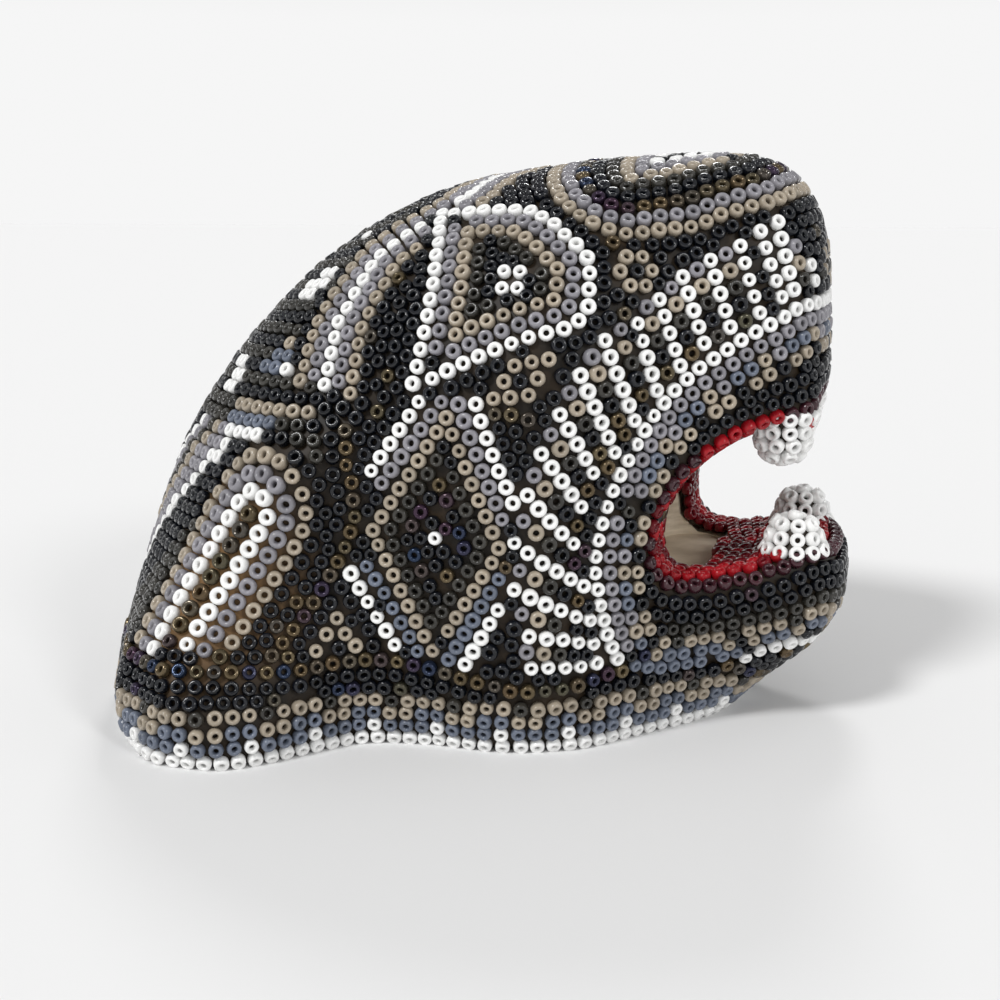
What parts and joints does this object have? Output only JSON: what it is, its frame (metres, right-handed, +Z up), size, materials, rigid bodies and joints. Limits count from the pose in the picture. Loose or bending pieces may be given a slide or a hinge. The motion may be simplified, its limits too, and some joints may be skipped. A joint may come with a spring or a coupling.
{
  "type": "beaded big cat head figure",
  "caption": "Carved wooden head of a big cat with an open, fanged mouth, coated in beeswax and covered all over with glass seed beads in motifs; rests on its flat base.",
  "frame": {"origin": "centre of the bounding box on the flat base", "axes": "+X out of the mouth, +Y to the animal's left, +Z up"},
  "size_m": [0.103, 0.0962, 0.0758],
  "materials": {
    "bare_wood": "bare",
    "beeswax": "satin",
    "white_glass": "gloss",
    "red_glass": "gloss",
    "grey_glass": "gloss",
    "beige_glass": "gloss",
    "black_glass": "gloss"
  },
  "bodies": {
    "root": {"wood_core": "bare_wood", "wax_coat": "beeswax", "mouth_wax": "beeswax", "fang_peg_upper_left": "beeswax", "fang_peg_upper_right": "beeswax", "fang_peg_lower_left": "beeswax", "fang_peg_lower_right": "beeswax", "fang_beads_upper_left": "white_glass", "fang_beads_upper_right": "white_glass", "fang_beads_lower_left": "white_glass", "fang_beads_lower_right": "white_glass", "palate_beads": "red_glass", "mouth_floor_beads": "red_glass", "mouth_corner_beads_left": "red_glass", "mouth_corner_beads_right": "red_glass", "muzzle_beads": "grey_glass", "nose_beads": "black_glass", "crown_beads": "black_glass", "poll_beads": "black_glass", "nape_beads": "grey_glass", "upper_lip_beads": "black_glass", "lower_jaw_beads": "black_glass", "base_band_beads": "black_glass", "eye_beads_left": "white_glass", "eye_beads_right": "white_glass", "snout_beads_left": "black_glass", "snout_beads_right": "black_glass", "under_eye_beads_left": "beige_glass", "under_eye_beads_right": "beige_glass", "cheek_beads_left": "grey_glass", "cheek_beads_right": "grey_glass", "whisker_beads_left": "white_glass", "whisker_beads_right": "white_glass", "temple_beads_left": "black_glass", "temple_beads_right": "black_glass", "ear_beads_left": "white_glass", "ear_beads_right": "white_glass"}
  },
  "joints": []
}
